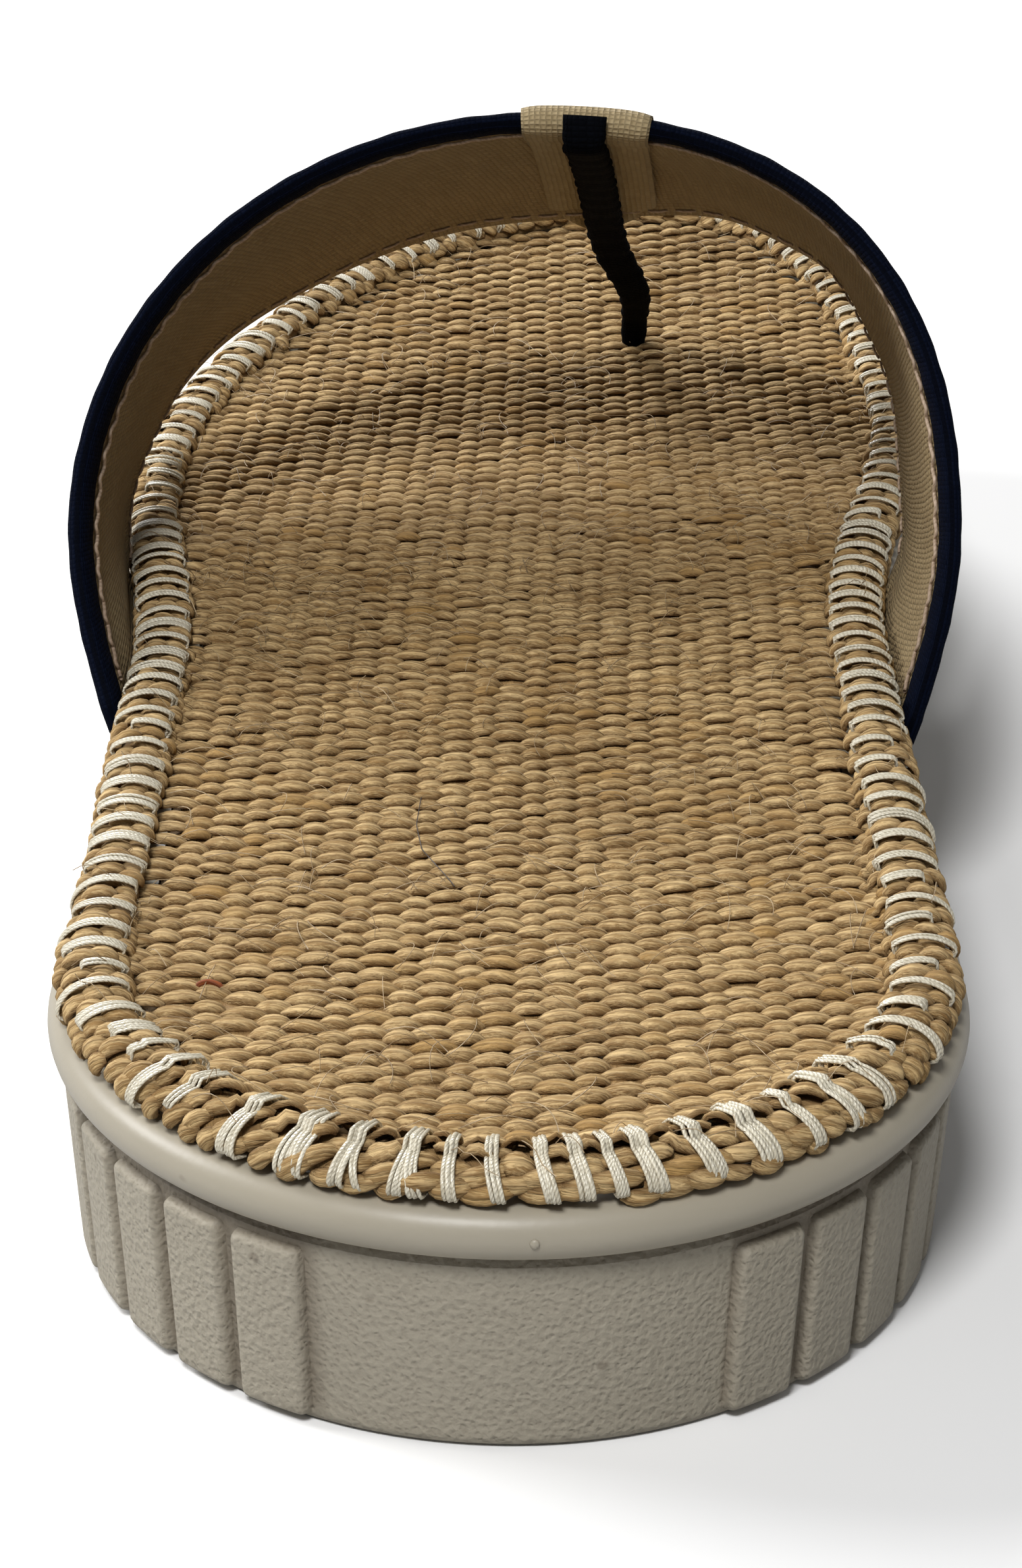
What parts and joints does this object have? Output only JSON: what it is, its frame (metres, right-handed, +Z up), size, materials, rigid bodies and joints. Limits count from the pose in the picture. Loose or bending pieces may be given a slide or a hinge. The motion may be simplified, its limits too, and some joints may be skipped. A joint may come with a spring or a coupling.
{
  "type": "jute sandal",
  "caption": "Open-toe left sandal: woven jute footbed with a whipped rim, soft arched upper with dark collar binding, toe thong and ribbed pale rubber sole.",
  "frame": {"origin": "middle of the sandal's bounding box in plan, on the floor", "axes": "+Z up from the floor, +Y from the heel to the toe, +X to the big-toe side"},
  "size_m": [0.088, 0.2618, 0.0694],
  "materials": {
    "sole_rubber": "fine leather-like stipple on ribs and heel panel, smooth satin bead",
    "footbed_jute": "thick weft-faced plain weave of twisted jute yarn",
    "rim_jute": "rolled jute strands, whip-stitched with off-white thread",
    "upper_cloth": "natural woven cloth, fine ribs",
    "navy_tape": "soft dark navy binding tape",
    "tan_tape": "natural cotton tape",
    "thong_cord": "very dark navy soft flat cord"
  },
  "bodies": {
    "root": {"outsole": "sole_rubber", "footbed": "footbed_jute", "rim": "rim_jute", "vamp": "upper_cloth", "collar_binding": "navy_tape", "keeper": "tan_tape", "thong": "thong_cord"}
  },
  "joints": []
}
